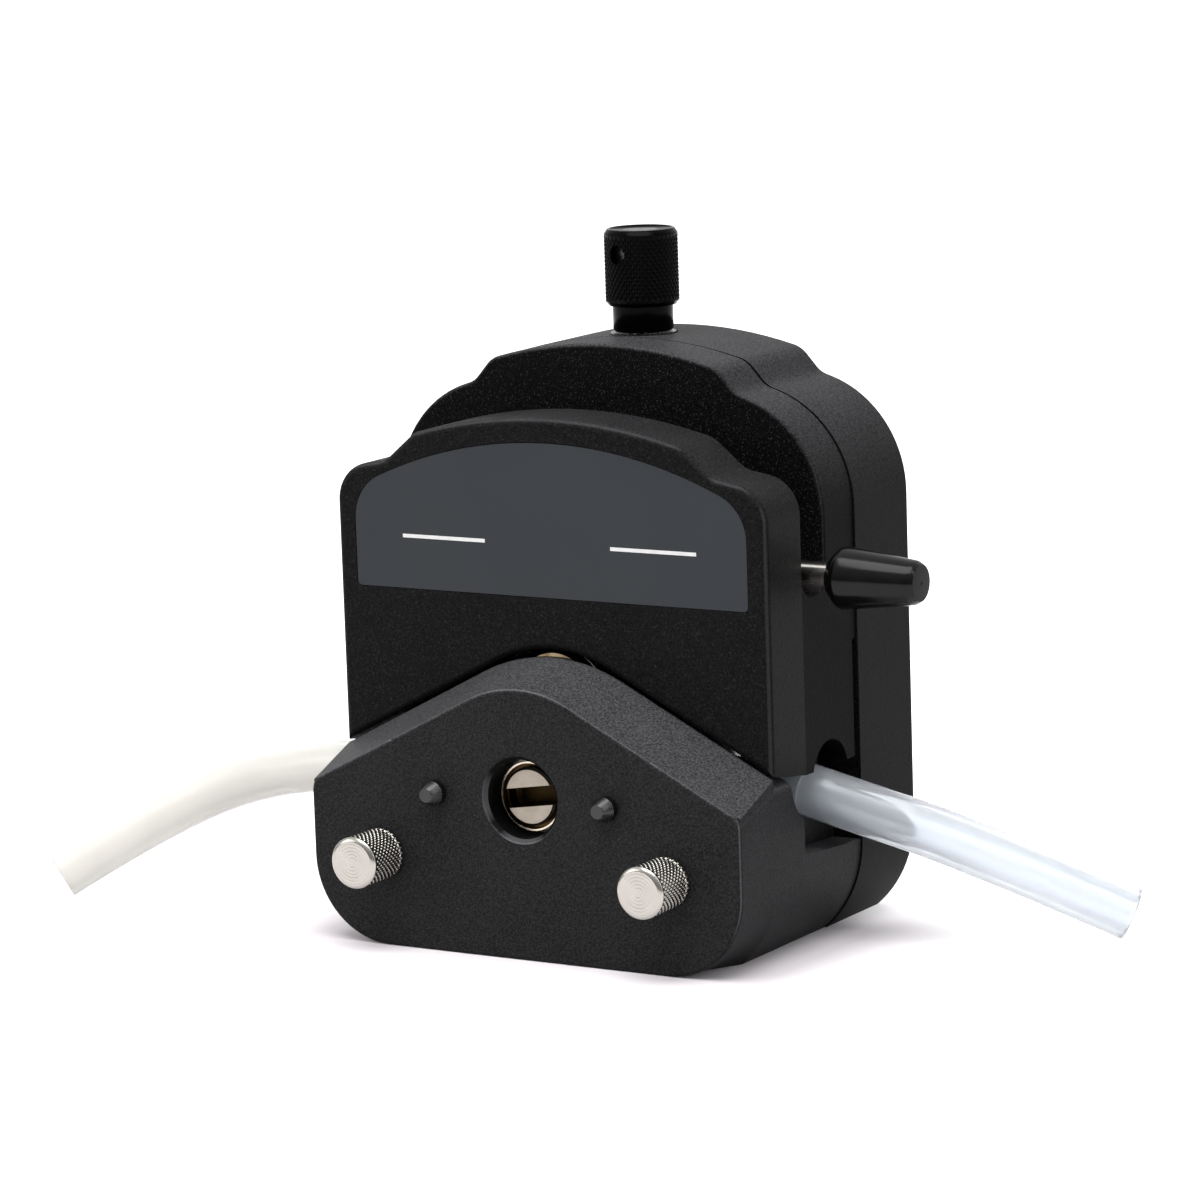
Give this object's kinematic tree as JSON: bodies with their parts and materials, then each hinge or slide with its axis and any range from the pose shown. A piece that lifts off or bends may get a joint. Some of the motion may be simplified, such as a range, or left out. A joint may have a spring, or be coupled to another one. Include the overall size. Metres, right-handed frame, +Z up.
{
  "type": "peristaltic pump head",
  "caption": "Quick-load peristaltic pump head: a lever lifts the upper block off a roller rotor to load a soft tube; a knob sets the squeeze; it stacks on a slotted shaft.",
  "frame": {"origin": "on the drive shaft's axis, in the plane of the rear mounting face", "axes": "+Y towards the drive along the shaft, -Y to the front face, +Z up, +X to the right seen from the front"},
  "size_m": [0.2335, 0.0932, 0.142],
  "materials": {
    "body_black": "fine grain moulded black, satin",
    "label_slate": "satin slate grey printed plate",
    "stainless": "turned and knurled stainless steel",
    "shaft_steel": "turned steel, warm tint",
    "black_steel": "black oxide, knurled",
    "polished_steel": "polished",
    "handle_black": "gloss black",
    "tube_silicone": "translucent silicone",
    "rotor_metal": "machined, warm",
    "bush_bronze": "plain bush",
    "screw_steel": "zinc plated"
  },
  "bodies": {
    "housing": {"rear_housing": "body_black", "lower_block": "body_black", "guide_rods": "stainless", "locating_pins": "black_steel", "front_bearing": "stainless", "rear_bearing": "stainless", "housing_screws": "screw_steel", "tube_clamp_left": "body_black", "tube_clamp_right": "body_black", "tube_loaded": "tube_silicone", "tube_left": "tube_silicone", "tube_right": "tube_silicone", "knob_washer": "polished_steel"},
    "gap_knob_body": {"gap_knob": "black_steel", "knob_screw": "stainless", "knob_set_screw": "black_steel", "knob_retaining_ring": "stainless"},
    "carriage": {"gap_carriage": "rotor_metal"},
    "upper_block": {"mid_body": "body_black", "front_cover": "body_black", "label_plate": "label_slate", "cover_screws": "screw_steel"},
    "lever": {"lever_shaft": "stainless", "lever_hub": "black_steel", "lever_rod": "polished_steel", "lever_handle": "handle_black"},
    "rotor": {"rotor_shaft": "shaft_steel", "shaft_sleeve": "shaft_steel", "front_bearing_inner": "stainless", "rear_bearing_inner": "stainless", "rotor_plate_front": "rotor_metal", "rotor_plate_rear": "rotor_metal", "rotor_spacer": "rotor_metal", "roller_pins": "stainless"},
    "roller_a": {"roller_1": "stainless", "roller_1_bushes": "bush_bronze"},
    "roller_b": {"roller_2": "stainless", "roller_2_bushes": "bush_bronze"},
    "roller_c": {"roller_3": "stainless", "roller_3_bushes": "bush_bronze"},
    "thumb_left": {"thumb_screw_left": "stainless"},
    "thumb_right": {"thumb_screw_right": "stainless"}
  },
  "joints": [
    {"name": "knob_turn", "type": "hinge", "parent": "housing", "child": "gap_knob_body", "pos_m": [-0.002, -0.0148, 0.0898], "axis": [0, 0, 1], "range_deg": [0, 720]},
    {"name": "carriage_shift", "type": "slide", "parent": "housing", "child": "carriage", "axis": [0, 0, 1], "range_m": [0, 0.002]},
    {"name": "block_lift", "type": "slide", "parent": "carriage", "child": "upper_block", "axis": [0, 0, 1], "range_m": [0, 0.012]},
    {"name": "lever_turn", "type": "hinge", "parent": "upper_block", "child": "lever", "pos_m": [0, -0.04, 0.0434], "axis": [0, -1, 0], "range_deg": [0, 180]},
    {"name": "rotor_spin", "type": "hinge", "parent": "housing", "child": "rotor", "pos_m": [0, -0.0347, 0], "axis": [0, -1, 0], "continuous": true},
    {"name": "roller_1_spin", "type": "hinge", "parent": "rotor", "child": "roller_a", "pos_m": [0, -0.0347, 0.0186], "axis": [0, -1, 0], "continuous": true},
    {"name": "roller_2_spin", "type": "hinge", "parent": "rotor", "child": "roller_b", "pos_m": [-0.01611, -0.0347, -0.0093], "axis": [0, -1, 0], "continuous": true},
    {"name": "roller_3_spin", "type": "hinge", "parent": "rotor", "child": "roller_c", "pos_m": [0.01611, -0.0347, -0.0093], "axis": [0, -1, 0], "continuous": true},
    {"name": "thumb_left_turn", "type": "hinge", "parent": "housing", "child": "thumb_left", "pos_m": [-0.03365, -0.0775, -0.01366], "axis": [0, -1, 0], "continuous": true},
    {"name": "thumb_right_turn", "type": "hinge", "parent": "housing", "child": "thumb_right", "pos_m": [0.03365, -0.0775, -0.01366], "axis": [0, -1, 0], "continuous": true}
  ],
  "couplings": [
    {"joint": "knob_turn", "follows": "carriage_shift", "rad_per_m": 6283.2},
    {"joint": "lever_turn", "follows": "block_lift", "rad_per_m": 261.8}
  ]
}
